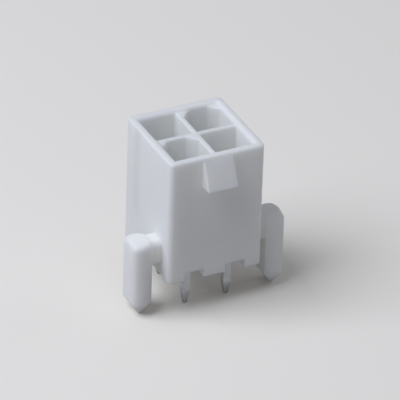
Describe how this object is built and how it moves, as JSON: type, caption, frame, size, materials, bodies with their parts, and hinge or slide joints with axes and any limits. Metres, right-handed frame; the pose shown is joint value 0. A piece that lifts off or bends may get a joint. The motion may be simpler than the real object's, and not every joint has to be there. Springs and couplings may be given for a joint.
{
  "type": "board header connector",
  "caption": "Upright board header: a white moulded housing with keyed pockets, a latch ramp and snap-in board pegs, holding square mating pins with solder tails.",
  "frame": {"origin": "middle of the housing's square footprint, on the plane where its feet sit on the circuit board", "axes": "+Z is the mating direction, up from the board; -Y is the face with the latch ramp; the two board pegs lie on +X and -X"},
  "size_m": [0.0156, 0.0109, 0.0164],
  "materials": {
    "nylon": "natural white moulded nylon, satin",
    "tin": "matte tin plating over stamped brass"
  },
  "bodies": {
    "root": {"housing": "nylon", "terminal_front_left": "tin", "terminal_front_right": "tin", "terminal_back_left": "tin", "terminal_back_right": "tin"}
  },
  "joints": []
}
